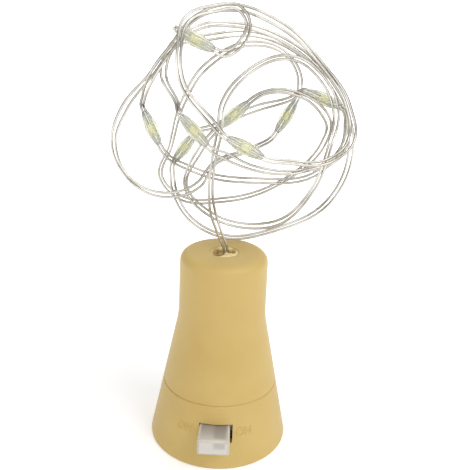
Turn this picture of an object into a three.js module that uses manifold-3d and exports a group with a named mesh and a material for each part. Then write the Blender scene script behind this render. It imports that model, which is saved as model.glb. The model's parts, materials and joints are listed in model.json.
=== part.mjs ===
// Solar bottle lamp: a cork-shaped stopper that stands on its solar face, with the fairy-light wire
// that hangs in a bottle in use standing above it in loose loops.
// Millimetres, +Z up. The origin is the centre of the solar face. The switch faces -Y.
import * as THREE from 'three';
import { mergeVertices } from 'three/addons/utils/BufferGeometryUtils.js';
import Module from 'manifold-3d';

const wasm = await Module();
wasm.setup();

// Stopper outline
const BASE_RADIUS = 15.5;
const NECK_RADIUS = 9.5;
const TIP_RADIUS = 9.4;
const STOPPER_HEIGHT = 44.4;
const SEAM_HEIGHT = 13.9;
const NECK_START = 29.9;
const NECK_BLEND = 2.2;
const TIP_ROUND = 2;
const FOOT_ROUND = 0.4;
const SEAM_CHAMFER = 0.25;

// Walls and fits
const WALL = 1.6;
const TOP_WALL = 2.4;
const LIP_WALL = 0.85;
const SPIGOT_WALL = 1;
const SPIGOT_DEPTH = 1.6;
const FIT = 0.15;
const BOND = 0.1;

// Wire outlet in the tip
const RECESS_RADIUS = 3;
const RECESS_DEPTH = 1;
const OUTLET_RADIUS = 2.2;
const SEAL_FLANGE_WIDTH = 1;
const SEAL_FLANGE_THICKNESS = 1;

// Solar face
const WINDOW_RADIUS = 12.2;
const WINDOW_THICKNESS = 1.2;
const WINDOW_SHELF_WIDTH = 0.95;
const WINDOW_SHELF_THICKNESS = 1;
const SOLAR_BOARD_THICKNESS = 1;
const STRIP_COUNT = 4;
const STRIP_WIDTH = 3.6;
const STRIP_LENGTH = 14.4;
const STRIP_THICKNESS = 0.3;
const STRIP_GAP = 0.4;

// Circuit board and what stands on it
const CIRCUIT_RADIUS = 11.4;
const CIRCUIT_THICKNESS = 1.2;
const LEDGE_WIDTH = 1;
const LEDGE_THICKNESS = 1;
const PART_CIRCLE_RADIUS = 8.4;
const CHIP_ANGLE = 140;
const CHIP_SIZE = { across: 4.4, deep: 3, tall: 1.7 };
const INDUCTOR_ANGLE = 40;
const INDUCTOR_RADIUS = 1.4;
const INDUCTOR_LENGTH = 6.4;
const INDUCTOR_LEAD_SPAN = 8.6;
const INDUCTOR_LEAD_RADIUS = 0.3;

// Battery
const BATTERY_RADIUS = 5.1;
const BATTERY_LENGTH = 28;
const BUTTON_RADIUS = 1.9;
const BUTTON_HEIGHT = 0.8;
const CRIMP = 0.5;
const SLEEVE_WALL = 0.25;
const SLEEVE_MARGIN = 0.6;
const TAB_WIDTH = 4;
const TAB_THICKNESS = 0.3;
const TAB_TAIL = 1.7;
const TAB_OVERHANG = 2;

// Slide switch
const SLOT_WIDTH = 7.2;
const SLOT_TALL = 4.2;
const SLOT_HEIGHT = 7.9;
const SWITCH_WIDTH = 8.6;
const SWITCH_DEPTH = 4.2;
const SWITCH_WALL = 0.3;
const SWITCH_BASE_TALL = 1;
const TRAVEL = 0.5;
const KNOB_REACH = 4.8;
const KNOB_TALL = 3.7;
const KNOB_FLARE = 0.15;
const KNOB_BEVEL = 0.35;
const KNOB_CORNER = 0.6;
const KNOB_FACE = 1.4;
const KNOB_GAP = 0.5;
const LEVER_WIDTH = 2.8;
const LEVER_TALL = 1.8;
const LEVER_OFFSET = 1.2;
const SLIDER_WIDTH = 4.4;
const SLIDER_DEPTH = 2.6;
const SLIDER_TALL = 2.1;

// Insulated leads inside the stopper
const LEAD_RADIUS = 0.4;
const LEAD_CLEARANCE = 0.5;
const LEAD_SPACING = 4.4;
const SOLAR_LEAD_CIRCLE = 8;
const SOLAR_LEAD_ANGLES = [200, 222];
const SOLAR_LEAD_BOW = 0.4;

// Fairy-light wire: two strands side by side, with a bead cast round both at each light
const STRAND_RADIUS = 0.27;
const PAIR_OFFSET = 0.45;
const PAIR_SPREAD = 0.12;
const PAIR_ROLL = 0.7;
const PAIR_STEP = 1.7;
const BEAD_OFFSET = 0.33;
const WIRE_X = 0.4;
const WIRE_Y = 0.5;
const WIRE_TAIL = 0.5;
const MOUTH_DEPTH = 0.9;
const HANDLE = 0.36;
const STEPS_PER_STATION = 2;
const STRAND_SIDES = 6;
const FACING_TILT = 12;
const BEAD_LENGTH = 7.3;
const BEAD_LEAN = 0.7;
const BEAD_RADIUS = 1.2;
const BEAD_END_RADIUS = 0.85;
const BEAD_FIT = 0.1;
const DIODE = { across: 0.8, along: 1.8, tall: 0.5 };

// Stations of the wire, from the outlet to its cut end: x, y and the height over the stopper's top.
// BEAD marks a station in the middle of a light.
const BEAD = true;
const ROUTE = [
  // up out of the stopper, over the right-hand arc and round the low front loop
  [-1, -0.5, 4], [-2.5, -2, 9], [-3, -5, 14.5], [-2.5, -7.5, 22], [-1.5, -9, 28], [-1, -9, 33],
  [3, -7.5, 38.5], [11, -5, 41.5], [17.5, -3, 37.5], [20.5, -2.5, 32], [19.5, -7, 25.5], [16.5, -6, 15.5],
  [7.5, 0.5, 6], [-3.5, 2.5, 7.5], [-8.5, 0.5, 14], [-6, -1.5, 21.5], [1, -3, 30, BEAD],
  // the small loop in the middle and the tall narrow one behind it
  [6.5, -3.5, 34.5], [13, -3, 34.5], [19, -1, 30], [19.5, 4.5, 23.5], [13.5, 9.5, 14.5], [-0.5, 11, 8],
  [-11.5, 11, 8.5], [-15, 11, 12.5], [-13, 10.5, 19.5], [-10, 7.5, 30], [-4.5, 5, 38.5], [3.5, 6.5, 42.5],
  [11, 7.5, 40.5], [14, 7.5, 35], [11.5, 5, 28.5, BEAD],
  // the wide loop on the left
  [5, -1, 23], [-3, -2.5, 19.5], [-5.5, -2.5, 15.5], [-12.5, -3, 13], [-20, -2, 16], [-23, -1, 22.5],
  [-21, -0.5, 29.5], [-16, 0.5, 36], [-11, 3, 42],
  // the big loop at the back, which comes down close to the stopper's top
  [-4.5, 6, 43.5], [4.5, 10, 44], [15, 12.5, 39.5], [23, 13.5, 31.5], [26.5, 13.5, 22], [23.5, 11.5, 10],
  [11, 7, 3], [-2.5, 4, 2.5], [-9.5, 5.5, 7], [-12, 7, 14], [-9.5, 7, 20.5, BEAD],
  // across the middle to the right and back low down
  [-3.5, 6, 25.5], [5.5, 5, 30], [12, 3, 32.5], [18.5, 1.5, 33, BEAD], [23.5, 0.5, 27.5], [22.5, -1, 23],
  [15, -5, 20], [6, -9, 21], [0, -12, 24], [-6, -12, 28.5, BEAD],
  // two outer loops, each with its light on the left
  [-9.5, -9.5, 33], [-12.5, -5.5, 38], [-11, -3.5, 42.5], [-6, -2, 46], [0.5, 0, 46.5], [9.5, 2.5, 44],
  [20, 5, 35.5], [24.5, 5.5, 26.5], [19.5, 3.5, 18], [5.5, 3.5, 15], [-7, 4, 16.5], [-15.5, 0, 26, BEAD],
  [-16.5, -4, 32.5], [-14, -7.5, 38], [-10.5, -8, 43], [-6.5, -7, 48], [0, -7.5, 50], [7.5, -8, 48],
  [17, -7.5, 40.5], [22.5, -6.5, 33], [23.5, -7.5, 27.5], [19.5, -11, 24], [11.5, -14, 24],
  [3.5, -15, 26.5, BEAD],
  // up the left of the front, over the top, and the small curl that ends in the last light
  [-3, -16, 31.5], [-8, -16, 38], [-8.5, -16, 43.5], [-7.5, -15, 48], [-3, -13, 50], [1.5, -11.5, 50],
  [3, -11, 47.5], [2, -11.5, 44.5], [-1, -12, 42.5], [-6, -11.5, 44.5, BEAD], [-10, -11, 46.5],
];

// Facets
const SHELL_SIDES = 48;
const ROUND_SIDES = 24;
const BEAD_SIDES = 12;
const CURVE_STEPS = 6;

// Heights that follow from the stack of pieces. The circuit board lies so that its switch's lever
// comes out in the middle of the slot.
const stripTop = WINDOW_THICKNESS + BOND + STRIP_THICKNESS;
const solarBoardTop = stripTop + BOND + SOLAR_BOARD_THICKNESS;
const partsHeight = SLOT_HEIGHT - SLIDER_TALL / 2 - FIT - SWITCH_BASE_TALL;
const circuitTop = partsHeight - BOND;
const circuitBottom = circuitTop - CIRCUIT_THICKNESS;
const cellBottom = partsHeight + TAB_THICKNESS + BOND;
const cellTop = cellBottom + BATTERY_LENGTH;
const tabHeight = cellTop + BUTTON_HEIGHT + BOND;
const ceiling = STOPPER_HEIGHT - TOP_WALL;
const sealTop = STOPPER_HEIGHT - RECESS_DEPTH - BOND;
const flangeTop = ceiling - FIT;
const flangeBottom = flangeTop - SEAL_FLANGE_THICKNESS;
const wireStart = flangeBottom - WIRE_TAIL;

// Radii that follow from the outline
const coneSlope = (BASE_RADIUS - NECK_RADIUS) / NECK_START;
const neckSlope = (NECK_RADIUS - TIP_RADIUS) / (STOPPER_HEIGHT - NECK_START);
const coneRadius = (z) => BASE_RADIUS - coneSlope * z;
const neckRadius = (z) => NECK_RADIUS - neckSlope * (z - NECK_START);
const windowSeat = WINDOW_RADIUS + FIT;
const shelfRadius = windowSeat - WINDOW_SHELF_WIDTH;
const rebateRadius = coneRadius(SEAM_HEIGHT) - LIP_WALL;
const spigotRadius = rebateRadius - FIT;
const spigotBore = spigotRadius - SPIGOT_WALL;
const sleeveRadius = BATTERY_RADIUS + BOND + SLEEVE_WALL;

const radians = THREE.MathUtils.degToRad;
const lamp = new THREE.Group();

function material(color, roughness, metalness = 0) {
  return new THREE.MeshStandardMaterial({ color, roughness, metalness });
}

const CORK = material(0xcfb26e, 0.55);
const KNOB_PLASTIC = material(0xd8d6d0, 0.35);
const CLEAR_RESIN = material(0x2c3c52, 0.12);
const SILICON = material(0x141d3c, 0.3);
const BOARD_GREEN = material(0x2e6b3a, 0.5);
const NICKEL = material(0xb9b9b4, 0.35, 1);
const SLEEVE_GREEN = material(0x3f8f4f, 0.5);
const BLACK_PLASTIC = material(0x1c1c1e, 0.5);
const INDUCTOR_LACQUER = material(0x6fa58c, 0.45);
const RED_VINYL = material(0xa3201c, 0.5);
const BLACK_VINYL = material(0x1a1a1a, 0.5);
const GLUE = material(0xc9b27c, 0.5);
const SILVER_WIRE = material(0xdcd8cf, 0.3, 0.9);
const EPOXY = material(0xd5d9bf, 0.2);
const PHOSPHOR = material(0xe6dc8c, 0.5);

function place(name, geometry, finish, parent = lamp) {
  const mesh = new THREE.Mesh(geometry, finish);
  mesh.name = name;
  parent.add(mesh);
  return mesh;
}

// A closed solid for cutting and joining, from a geometry whose shared corners are merged.
function solidOf(geometry) {
  const bare = geometry.clone();
  bare.deleteAttribute('normal');
  bare.deleteAttribute('uv');
  const merged = mergeVertices(bare);
  const corners = merged.index.array;
  const kept = [];
  for (let i = 0; i < corners.length; i += 3) {
    const [a, b, c] = [corners[i], corners[i + 1], corners[i + 2]];
    if (a !== b && b !== c && c !== a) {
      kept.push(a, b, c);
    }
  }
  const vertProperties = new Float32Array(merged.attributes.position.array);
  const triVerts = new Uint32Array(kept);
  return new wasm.Manifold(new wasm.Mesh({ numProp: 3, vertProperties, triVerts }));
}

function geometryOf(solid) {
  const { vertProperties, triVerts } = solid.getMesh();
  const geometry = new THREE.BufferGeometry();
  geometry.setAttribute('position', new THREE.BufferAttribute(vertProperties, 3));
  geometry.setIndex(new THREE.BufferAttribute(triVerts, 1));
  return geometry;
}

function cut(geometry, ...tools) {
  return geometryOf(tools.reduce((solid, tool) => solid.subtract(solidOf(tool)), solidOf(geometry)));
}

function join(first, ...others) {
  return geometryOf(others.reduce((solid, other) => solid.add(solidOf(other)), solidOf(first)));
}

// A profile of radius and height, turned round the Z axis.
function turned(profile, sides = ROUND_SIDES) {
  const geometry = new THREE.LatheGeometry(profile, sides);
  geometry.rotateX(Math.PI / 2);
  return geometry;
}

function profileOf(path) {
  const points = path.getPoints(CURVE_STEPS);
  points.push(points[0].clone());
  return points;
}

function disc(radius, bottom, top, sides = ROUND_SIDES) {
  const profile = [[0, bottom], [radius, bottom], [radius, top], [0, top]];
  return turned(profile.map(([r, z]) => new THREE.Vector2(r, z)), sides);
}

// A block from its lowest and highest corners.
function block(low, high) {
  const size = high.map((value, axis) => value - low[axis]);
  const geometry = new THREE.BoxGeometry(...size);
  geometry.translate(...low.map((value, axis) => value + size[axis] / 2));
  return geometry;
}

function roundSection(radius) {
  const section = new THREE.Shape();
  section.absarc(0, 0, radius, 0, 2 * Math.PI);
  return section;
}

function lead(points, steps) {
  const extrudePath = new THREE.CatmullRomCurve3(points.map((point) => new THREE.Vector3(...point)));
  return new THREE.ExtrudeGeometry(roundSection(LEAD_RADIUS), {
    extrudePath, steps, curveSegments: 8, bevelEnabled: false,
  });
}

// Base ring: the foot, the seat of the solar window, the ledge of the circuit board, the switch's slot
// and the lip that takes the stopper's spigot.
function baseShell() {
  const rebateFloor = SEAM_HEIGHT - SPIGOT_DEPTH - FIT;
  const shelfBottom = WINDOW_THICKNESS + FIT;
  const shelfTop = shelfBottom + WINDOW_SHELF_THICKNESS;
  const ledgeTop = circuitBottom - BOND;
  const ledgeBottom = ledgeTop - LEDGE_THICKNESS;
  const ledgeRadius = CIRCUIT_RADIUS - LEDGE_WIDTH;
  const path = new THREE.Path();
  path.moveTo(windowSeat, 0);
  path.lineTo(BASE_RADIUS - FOOT_ROUND, 0);
  path.quadraticCurveTo(BASE_RADIUS, 0, coneRadius(FOOT_ROUND), FOOT_ROUND);
  path.lineTo(coneRadius(SEAM_HEIGHT - SEAM_CHAMFER), SEAM_HEIGHT - SEAM_CHAMFER);
  path.lineTo(coneRadius(SEAM_HEIGHT) - SEAM_CHAMFER, SEAM_HEIGHT);
  path.lineTo(rebateRadius, SEAM_HEIGHT);
  path.lineTo(rebateRadius, rebateFloor);
  path.lineTo(coneRadius(rebateFloor) - WALL, rebateFloor);
  path.lineTo(coneRadius(ledgeTop) - WALL, ledgeTop);
  path.lineTo(ledgeRadius, ledgeTop);
  path.lineTo(ledgeRadius, ledgeBottom);
  path.lineTo(coneRadius(ledgeBottom) - WALL, ledgeBottom);
  path.lineTo(coneRadius(shelfTop) - WALL, shelfTop);
  path.lineTo(shelfRadius, shelfTop);
  path.lineTo(shelfRadius, shelfBottom);
  path.lineTo(windowSeat, shelfBottom);
  const slot = block(
    [-SLOT_WIDTH / 2, -BASE_RADIUS - FIT, SLOT_HEIGHT - SLOT_TALL / 2],
    [SLOT_WIDTH / 2, 0, SLOT_HEIGHT + SLOT_TALL / 2],
  );
  return cut(turned(profileOf(path), SHELL_SIDES), slot);
}

// Upper shell: cone, soft waist, neck and rounded tip, with the wire outlet sunk in the top.
function stopperShell() {
  const blendStart = NECK_START - NECK_BLEND;
  const blendEnd = NECK_START + NECK_BLEND;
  const roundStart = STOPPER_HEIGHT - TIP_ROUND;
  const flatRadius = neckRadius(roundStart) - TIP_ROUND;
  const recessFloor = STOPPER_HEIGHT - RECESS_DEPTH;
  const boreTop = (BASE_RADIUS - WALL - spigotBore) / coneSlope;
  const path = new THREE.Path();
  path.moveTo(coneRadius(SEAM_HEIGHT) - SEAM_CHAMFER, SEAM_HEIGHT);
  path.lineTo(coneRadius(SEAM_HEIGHT + SEAM_CHAMFER), SEAM_HEIGHT + SEAM_CHAMFER);
  path.lineTo(coneRadius(blendStart), blendStart);
  path.quadraticCurveTo(NECK_RADIUS, NECK_START, neckRadius(blendEnd), blendEnd);
  path.lineTo(neckRadius(roundStart), roundStart);
  path.absarc(flatRadius, roundStart, TIP_ROUND, 0, Math.PI / 2);
  path.lineTo(RECESS_RADIUS, STOPPER_HEIGHT);
  path.lineTo(RECESS_RADIUS, recessFloor);
  path.lineTo(OUTLET_RADIUS, recessFloor);
  path.lineTo(OUTLET_RADIUS, ceiling);
  path.lineTo(neckRadius(ceiling) - WALL, ceiling);
  path.lineTo(NECK_RADIUS - WALL, NECK_START);
  path.lineTo(spigotBore, boreTop);
  path.lineTo(spigotBore, SEAM_HEIGHT - SPIGOT_DEPTH);
  path.lineTo(spigotRadius, SEAM_HEIGHT - SPIGOT_DEPTH);
  path.lineTo(spigotRadius, SEAM_HEIGHT);
  return turned(profileOf(path), SHELL_SIDES);
}

place('base_shell', baseShell(), CORK);
place('stopper_shell', stopperShell(), CORK);

// Solar face: a clear resin window, and the cell behind it in strips on its own board.
place('solar_window', disc(WINDOW_RADIUS, 0, WINDOW_THICKNESS, SHELL_SIDES), CLEAR_RESIN);
place('solar_board', disc(shelfRadius - FIT, stripTop + BOND, solarBoardTop, SHELL_SIDES), BOARD_GREEN);
for (let i = 0; i < STRIP_COUNT; i += 1) {
  const left = (i - STRIP_COUNT / 2) * (STRIP_WIDTH + STRIP_GAP) + STRIP_GAP / 2;
  const strip = block(
    [left, -STRIP_LENGTH / 2, stripTop - STRIP_THICKNESS],
    [left + STRIP_WIDTH, STRIP_LENGTH / 2, stripTop],
  );
  place(`solar_strip_${i + 1}`, strip, SILICON);
}

// Circuit board on its ledge, with the controller chip and the inductor.
place('circuit_board', disc(CIRCUIT_RADIUS, circuitBottom, circuitTop, SHELL_SIDES), BOARD_GREEN);

// A group on the part circle, turned so that its X axis runs round the circle.
function boardPlace(degrees) {
  const spot = new THREE.Group();
  const angle = radians(degrees);
  spot.position.set(PART_CIRCLE_RADIUS * Math.cos(angle), PART_CIRCLE_RADIUS * Math.sin(angle), partsHeight);
  spot.rotation.z = angle + Math.PI / 2;
  lamp.add(spot);
  return spot;
}

const chip = block(
  [-CHIP_SIZE.across / 2, -CHIP_SIZE.deep / 2, 0],
  [CHIP_SIZE.across / 2, CHIP_SIZE.deep / 2, CHIP_SIZE.tall],
);
place('controller_chip', chip, BLACK_PLASTIC, boardPlace(CHIP_ANGLE));

function inductor() {
  const half = INDUCTOR_LENGTH / 2;
  const waist = INDUCTOR_RADIUS * 0.85;
  const profile = [
    [0, -half], [waist / 2, -half], [INDUCTOR_RADIUS, -half * 0.8], [INDUCTOR_RADIUS, -half * 0.55],
    [waist, -half * 0.4], [waist, half * 0.4], [INDUCTOR_RADIUS, half * 0.55], [INDUCTOR_RADIUS, half * 0.8],
    [waist / 2, half], [0, half],
  ];
  const body = turned(profile.map(([r, z]) => new THREE.Vector2(r, z)), BEAD_SIDES);
  body.rotateY(Math.PI / 2);
  body.translate(0, 0, INDUCTOR_RADIUS);
  const foot = INDUCTOR_LEAD_SPAN / 2 - INDUCTOR_LEAD_RADIUS;
  const wire = block(
    [-foot - INDUCTOR_LEAD_RADIUS, -INDUCTOR_LEAD_RADIUS, INDUCTOR_RADIUS - INDUCTOR_LEAD_RADIUS],
    [foot + INDUCTOR_LEAD_RADIUS, INDUCTOR_LEAD_RADIUS, INDUCTOR_RADIUS + INDUCTOR_LEAD_RADIUS],
  );
  const legs = [-foot, foot].map((x) => block(
    [x - INDUCTOR_LEAD_RADIUS, -INDUCTOR_LEAD_RADIUS, 0],
    [x + INDUCTOR_LEAD_RADIUS, INDUCTOR_LEAD_RADIUS, INDUCTOR_RADIUS],
  ));
  return join(body, wire, ...legs);
}

place('inductor', inductor(), INDUCTOR_LACQUER, boardPlace(INDUCTOR_ANGLE));

// Battery: a short rechargeable cell upright on the board, in a shrink sleeve, with a welded tab at each end.
const cellProfile = [
  [0, cellBottom], [BATTERY_RADIUS - CRIMP, cellBottom], [BATTERY_RADIUS, cellBottom + CRIMP],
  [BATTERY_RADIUS, cellTop - CRIMP], [BATTERY_RADIUS - CRIMP, cellTop], [BUTTON_RADIUS, cellTop],
  [BUTTON_RADIUS, cellTop + BUTTON_HEIGHT], [0, cellTop + BUTTON_HEIGHT],
];
place('battery_cell', turned(cellProfile.map(([r, z]) => new THREE.Vector2(r, z))), NICKEL);

const sleeveProfile = [
  [BATTERY_RADIUS + BOND, cellBottom + SLEEVE_MARGIN], [sleeveRadius, cellBottom + SLEEVE_MARGIN],
  [sleeveRadius, cellTop - SLEEVE_MARGIN], [BATTERY_RADIUS + BOND, cellTop - SLEEVE_MARGIN],
  [BATTERY_RADIUS + BOND, cellBottom + SLEEVE_MARGIN],
];
place('battery_sleeve', turned(sleeveProfile.map(([r, z]) => new THREE.Vector2(r, z))), SLEEVE_GREEN);

const tabReach = sleeveRadius + TAB_TAIL;
const negativeTab = block(
  [-tabReach, -TAB_WIDTH / 2, partsHeight],
  [TAB_OVERHANG, TAB_WIDTH / 2, partsHeight + TAB_THICKNESS],
);
place('battery_tab_negative', negativeTab, NICKEL);
const positiveTab = block(
  [-TAB_OVERHANG, -TAB_WIDTH / 2, tabHeight],
  [tabReach, TAB_WIDTH / 2, tabHeight + TAB_THICKNESS],
);
place('battery_tab_positive', positiveTab, NICKEL);

// Slide switch: a metal frame and its base on the board, and the lever that carries the knob out
// through the slot. At rest the knob stands at the left end of the slot.
const switchTall = 2 * (SLOT_HEIGHT - partsHeight);
const switchTop = partsHeight + switchTall;
const switchCorner = coneRadius(switchTop) - WALL - 2 * FIT;
const switchFront = -Math.sqrt(switchCorner ** 2 - (SWITCH_WIDTH / 2) ** 2);
const switchBack = switchFront + SWITCH_DEPTH;
const knobX = -TRAVEL / 2;
const leverX = knobX + LEVER_OFFSET;
const knobWidth = SLOT_WIDTH - TRAVEL - 2 * BOND;
const knobFront = -coneRadius(SLOT_HEIGHT) - KNOB_REACH;
const knobBack = switchFront - KNOB_GAP;
const socketFloor = knobFront + KNOB_FACE;

function switchFrame() {
  const outer = block(
    [-SWITCH_WIDTH / 2, switchFront, partsHeight],
    [SWITCH_WIDTH / 2, switchBack, switchTop],
  );
  const inner = block(
    [-SWITCH_WIDTH / 2 + SWITCH_WALL, switchFront + SWITCH_WALL, partsHeight - FIT],
    [SWITCH_WIDTH / 2 - SWITCH_WALL, switchBack - SWITCH_WALL, switchTop - SWITCH_WALL],
  );
  const windowSide = (LEVER_WIDTH + TRAVEL) / 2 + FIT;
  const windowRise = LEVER_TALL / 2 + FIT;
  const window = block(
    [LEVER_OFFSET - windowSide, switchFront - FIT, SLOT_HEIGHT - windowRise],
    [LEVER_OFFSET + windowSide, switchFront + SWITCH_WALL + FIT, SLOT_HEIGHT + windowRise],
  );
  return cut(outer, inner, window);
}

function switchLever() {
  const sliderFront = switchFront + SWITCH_WALL + FIT;
  const slider = block(
    [leverX - SLIDER_WIDTH / 2, sliderFront, SLOT_HEIGHT - SLIDER_TALL / 2],
    [leverX + SLIDER_WIDTH / 2, sliderFront + SLIDER_DEPTH, SLOT_HEIGHT + SLIDER_TALL / 2],
  );
  const post = block(
    [leverX - LEVER_WIDTH / 2, socketFloor + FIT, SLOT_HEIGHT - LEVER_TALL / 2],
    [leverX + LEVER_WIDTH / 2, sliderFront + SLIDER_DEPTH / 2, SLOT_HEIGHT + LEVER_TALL / 2],
  );
  return join(slider, post);
}

// The knob is a block with rounded edges, a little wider at its face than in the slot.
function switchKnob() {
  const back = knobWidth / 2;
  const front = back + KNOB_FLARE;
  const outline = new THREE.Shape();
  outline.moveTo(-back, knobBack);
  outline.lineTo(-front, knobFront + KNOB_CORNER);
  outline.quadraticCurveTo(-front, knobFront, -front + KNOB_CORNER, knobFront);
  outline.lineTo(front - KNOB_CORNER, knobFront);
  outline.quadraticCurveTo(front, knobFront, front, knobFront + KNOB_CORNER);
  outline.lineTo(back, knobBack);
  const body = new THREE.ExtrudeGeometry(outline, {
    depth: KNOB_TALL - 2 * KNOB_BEVEL, bevelThickness: KNOB_BEVEL, bevelSize: KNOB_BEVEL,
    bevelOffset: -KNOB_BEVEL, bevelSegments: 2, curveSegments: 4,
  });
  body.translate(knobX, 0, SLOT_HEIGHT - KNOB_TALL / 2 + KNOB_BEVEL);
  const socket = block(
    [leverX - LEVER_WIDTH / 2 - FIT, socketFloor, SLOT_HEIGHT - LEVER_TALL / 2 - FIT],
    [leverX + LEVER_WIDTH / 2 + FIT, knobBack + FIT, SLOT_HEIGHT + LEVER_TALL / 2 + FIT],
  );
  return cut(body, socket);
}

const switchBaseSide = SWITCH_WIDTH / 2 - SWITCH_WALL - FIT;
const switchBase = block(
  [-switchBaseSide, switchFront + SWITCH_WALL + FIT, partsHeight],
  [switchBaseSide, switchBack - SWITCH_WALL - FIT, partsHeight + SWITCH_BASE_TALL],
);
place('switch_frame', switchFrame(), NICKEL);
place('switch_base', switchBase, BLACK_PLASTIC);
place('switch_lever', switchLever(), BLACK_PLASTIC);
place('switch_knob', switchKnob(), KNOB_PLASTIC);

// Leads: two from the solar board up to the circuit board, one from the battery's top tab, and two
// up the neck that meet the fairy-light wire under its seal.
const solarLeadFinish = { red: RED_VINYL, black: BLACK_VINYL };
Object.entries(solarLeadFinish).forEach(([colour, finish], i) => {
  const angle = radians(SOLAR_LEAD_ANGLES[i]);
  const [x, y] = [SOLAR_LEAD_CIRCLE * Math.cos(angle), SOLAR_LEAD_CIRCLE * Math.sin(angle)];
  const low = solarBoardTop + BOND;
  const high = circuitBottom - BOND;
  const middle = (low + high) / 2;
  const points = [[x, y, low], [x + SOLAR_LEAD_BOW, y, middle], [x, y, high]];
  place(`solar_lead_${colour}`, lead(points, 4), finish);
});

const batteryLeadX = tabReach - 2 * LEAD_RADIUS;
place('battery_lead_red', lead([
  [batteryLeadX, 0, tabHeight - BOND],
  [batteryLeadX, 0, (cellTop + cellBottom) / 2],
  [batteryLeadX, 0, partsHeight],
], 6), RED_VINYL);

const lampLeadY = sleeveRadius + LEAD_CLEARANCE + LEAD_RADIUS;
const lampLeadFinish = { red: RED_VINYL, black: BLACK_VINYL };
Object.entries(lampLeadFinish).forEach(([colour, finish], i) => {
  const side = i === 0 ? 1 : -1;
  const bottomX = side * LEAD_SPACING / 2;
  const topX = WIRE_X + side * (LEAD_RADIUS + BOND);
  const bend = tabHeight + TAB_THICKNESS;
  const leadTop = wireStart - 2 * FIT;
  place(`lamp_lead_${colour}`, lead([
    [bottomX, lampLeadY, partsHeight],
    [bottomX, lampLeadY, cellBottom + BATTERY_LENGTH / 2],
    [bottomX, lampLeadY, cellTop],
    [topX + side, lampLeadY / 2, (bend + leadTop) / 2],
    [topX, WIRE_Y, leadTop - 1],
    [topX, WIRE_Y, leadTop],
  ], 16), finish);
});

// Seal: a plug of glue in the outlet, with a flange under the top wall and a flat hole for the pair.
function wireSeal() {
  const plug = OUTLET_RADIUS - FIT;
  const flange = OUTLET_RADIUS + SEAL_FLANGE_WIDTH;
  const profile = [[0, flangeBottom], [flange, flangeBottom], [flange, flangeTop], [plug, flangeTop],
    [plug, sealTop], [0, sealTop]];
  const body = turned(profile.map(([r, z]) => new THREE.Vector2(r, z)));
  const holeSide = BEAD_OFFSET + STRAND_RADIUS + FIT;
  const holeDepth = STRAND_RADIUS + FIT;
  const hole = block(
    [WIRE_X - holeSide, WIRE_Y - holeDepth, flangeBottom - FIT],
    [WIRE_X + holeSide, WIRE_Y + holeDepth, sealTop + FIT],
  );
  return cut(body, hole);
}

place('wire_seal', wireSeal(), GLUE);

// The way the circle through three points runs at the middle one.
function runAt(before, here, after) {
  const run = new THREE.Vector3();
  for (const [from, to] of [[before, here], [here, after]]) {
    const step = to.clone().sub(from);
    if (step.lengthSq() > 0) {
      run.addScaledVector(step, 1 / step.lengthSq());
    }
  }
  return run.normalize();
}

// Knots of the pair: the middle of the pair, the way it runs, the way its strands lie apart and how far.
// The run is straight through the outlet and through each light, which lies nearly square to the facing
// side, as all of them show most of their length from there.
function pairKnots() {
  const facing = new THREE.Vector3(0, -Math.cos(radians(FACING_TILT)), Math.sin(radians(FACING_TILT)));
  const outlet = [wireStart, STOPPER_HEIGHT - MOUTH_DEPTH].map((z) => new THREE.Vector3(WIRE_X, WIRE_Y, z));
  const stations = ROUTE.map(([x, y, z]) => new THREE.Vector3(x, y, z + STOPPER_HEIGHT));
  const points = [...outlet, ...stations];
  const pick = (list, i) => list[Math.min(Math.max(i, 0), list.length - 1)];
  const knots = [];
  points.forEach((point, i) => {
    const turn = i - outlet.length;
    const straight = turn < 0 || ROUTE[turn][3] === BEAD;
    const knot = {
      turn, straight, at: point, run: turn < 0 ? new THREE.Vector3(0, 0, 1) : null,
      bead: turn >= 0 && straight,
      offset: straight ? BEAD_OFFSET : PAIR_OFFSET + PAIR_SPREAD * Math.sin(PAIR_STEP * turn),
    };
    if (knot.bead) {
      const run = runAt(pick(points, i - 1), point, pick(points, i + 1));
      run.addScaledVector(facing, -BEAD_LEAN * run.dot(facing)).normalize();
      const half = run.clone().multiplyScalar(BEAD_LENGTH / 2);
      const ends = [point.clone().sub(half), point.clone().add(half)];
      knots.push(...ends.map((at) => ({ ...knot, run, at })));
    } else {
      knots.push(knot);
    }
  });
  knots.at(-1).offset = BEAD_OFFSET;
  knots.forEach((knot, i) => {
    knot.run ??= runAt(pick(knots, i - 1).at, knot.at, pick(knots, i + 1).at);
    const roll = knot.straight ? 0 : PAIR_ROLL * Math.sin(knot.turn);
    knot.side = knot.run.clone().cross(facing).normalize().applyAxisAngle(knot.run, roll);
  });
  return knots;
}

// Rings of one strand, side +1 or -1 of the pair, as a centre with the two axes of its section.
function strandRings(knots, side) {
  const centre = (knot) => knot.at.clone().addScaledVector(knot.side, side * knot.offset);
  const rings = [];
  for (let i = 0; i + 1 < knots.length; i += 1) {
    const [from, to] = [knots[i], knots[i + 1]];
    const [start, end] = [centre(from), centre(to)];
    const reach = HANDLE * start.distanceTo(end);
    const curve = new THREE.CubicBezierCurve3(
      start, start.clone().addScaledVector(from.run, reach), end.clone().addScaledVector(to.run, -reach), end,
    );
    const straight = from.straight && to.straight && from.turn === to.turn;
    const steps = straight || to.turn < 0 ? 1 : STEPS_PER_STATION;
    const last = i + 2 === knots.length ? 1 : 0;
    for (let k = 0; k < steps + last; k += 1) {
      const run = curve.getTangent(k / steps);
      const across = from.side.clone().lerp(to.side, k / steps).projectOnPlane(run).normalize();
      rings.push({ at: curve.getPoint(k / steps), across, up: run.clone().cross(across) });
    }
  }
  return rings;
}

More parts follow.
